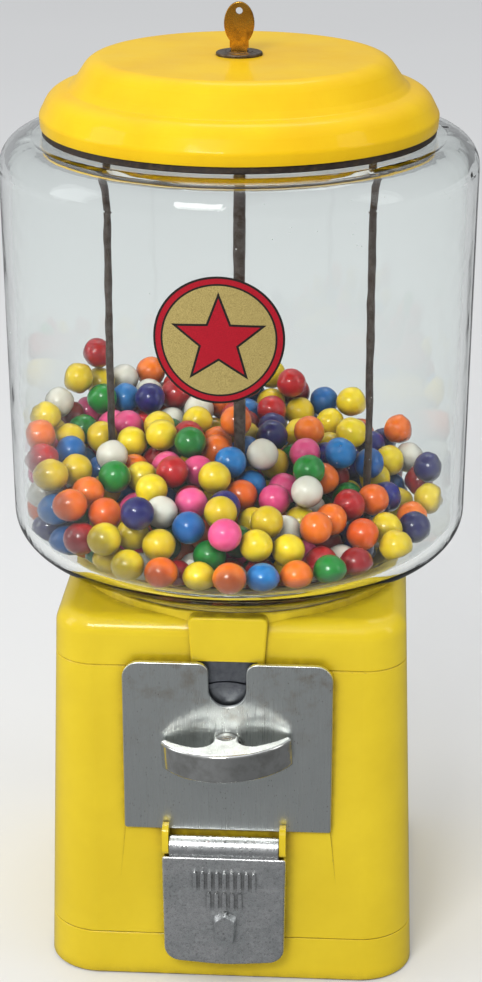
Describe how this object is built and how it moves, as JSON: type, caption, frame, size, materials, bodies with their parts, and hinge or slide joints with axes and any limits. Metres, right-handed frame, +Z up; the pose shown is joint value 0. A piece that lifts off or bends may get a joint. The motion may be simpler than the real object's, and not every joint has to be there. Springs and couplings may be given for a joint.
{
  "type": "gumball machine",
  "caption": "Counter-top penny gumball machine: glass globe on a square painted body, turning handle, coin plate, chute door and locking lid.",
  "frame": {"origin": "centre of the base, on the surface it stands on", "axes": "+Z up, the handle and chute door face -Y, +X to the viewer's right"},
  "size_m": [0.1957, 0.1956, 0.4026],
  "materials": {
    "body_enamel": "gloss",
    "lid_enamel": "gloss",
    "clear_glass": "clear",
    "chrome_plate": "polished",
    "chrome_handle": "polished",
    "chrome_door": "pitted",
    "brass_key": "worn",
    "lock_steel": "satin",
    "rod_steel": "rusty",
    "zinc": "dull",
    "mech_steel": "satin",
    "cast_aluminium": "cast",
    "bronze": "oiled",
    "dark_gasket": "matte",
    "pale_gasket": "matte",
    "decal": "printed",
    "galvanised_sheet": "dull",
    "gumball_red": "candy gloss",
    "gumball_orange": "candy gloss",
    "gumball_yellow": "candy gloss",
    "gumball_green": "candy gloss",
    "gumball_blue": "candy gloss",
    "gumball_navy": "candy gloss",
    "gumball_pink": "candy gloss",
    "gumball_white": "candy gloss"
  },
  "bodies": {
    "root": {"base": "body_enamel", "body_shell": "body_enamel", "body_cap": "body_enamel", "base_plate": "galvanised_sheet", "base_screws": "mech_steel", "base_nut": "mech_steel", "hopper": "cast_aluminium", "globe_gasket": "pale_gasket", "globe": "clear_glass", "globe_decal": "decal", "lid_gasket": "dark_gasket", "centre_rod": "rod_steel", "side_rods": "rod_steel", "top_bar": "rod_steel", "bar_nuts": "mech_steel", "centre_nut": "mech_steel", "lock_keeper": "mech_steel", "ball_guard": "mech_steel", "chute": "galvanised_sheet", "hinge_pin": "mech_steel", "face_plate": "chrome_plate", "plate_studs": "mech_steel", "plate_nuts": "mech_steel", "mech_frame": "mech_steel", "coin_guide": "zinc", "shaft_bushing": "bronze", "pawl_pin": "mech_steel", "coin_deflector": "galvanised_sheet", "cash_tray": "galvanised_sheet", "pawl_spring": "mech_steel", "gumballs_red": "gumball_red", "gumballs_orange": "gumball_orange", "gumballs_yellow": "gumball_yellow", "gumballs_green": "gumball_green", "gumballs_blue": "gumball_blue", "gumballs_navy": "gumball_navy", "gumballs_pink": "gumball_pink", "gumballs_white": "gumball_white"},
    "lid": {"lid": "lid_enamel", "lock_body": "lock_steel", "lock_nut": "mech_steel"},
    "lock": {"lock_plug": "lock_steel", "lock_cam": "mech_steel"},
    "key": {"key": "brass_key"},
    "crank": {"handle": "chrome_handle", "handle_shaft": "mech_steel", "coin_wheel": "zinc", "ratchet_wheel": "mech_steel", "drive_pinion": "mech_steel", "shaft_nut": "mech_steel"},
    "wheel": {"dispensing_wheel": "cast_aluminium", "agitator": "cast_aluminium", "pocket_gumballs": "gumball_orange"},
    "door": {"chute_door": "chrome_door"},
    "pawl": {"pawl": "mech_steel"}
  },
  "joints": [
    {"name": "handle_turn", "type": "hinge", "parent": "root", "child": "crank", "pos_m": [0, -0.07, 0.11], "axis": [0, 1, 0], "continuous": true},
    {"name": "wheel_turn", "type": "hinge", "parent": "root", "child": "wheel", "pos_m": [0, 0, 0.125], "axis": [0, 0, 1], "continuous": true},
    {"name": "door_swing", "type": "hinge", "parent": "root", "child": "door", "pos_m": [0, -0.0815, 0.0657], "axis": [-1, 0, 0], "range_deg": [0, 95]},
    {"name": "lid_lift", "type": "slide", "parent": "root", "child": "lid", "axis": [0, 0, 1], "range_m": [0, 0.06]},
    {"name": "lock_turn", "type": "hinge", "parent": "lid", "child": "lock", "pos_m": [0, 0, 0.375], "axis": [0, 0, 1], "range_deg": [0, 90]},
    {"name": "key_draw", "type": "slide", "parent": "lock", "child": "key", "axis": [0, 0, 1], "range_m": [0, 0.012]},
    {"name": "pawl_swing", "type": "hinge", "parent": "root", "child": "pawl", "pos_m": [-0.0215, -0.071, 0.116], "axis": [0, 1, 0], "range_deg": [0, 10], "stiffness_Nm_per_rad": 0.002}
  ],
  "couplings": [
    {"joint": "wheel_turn", "follows": "handle_turn", "ratio": 0.16667}
  ]
}
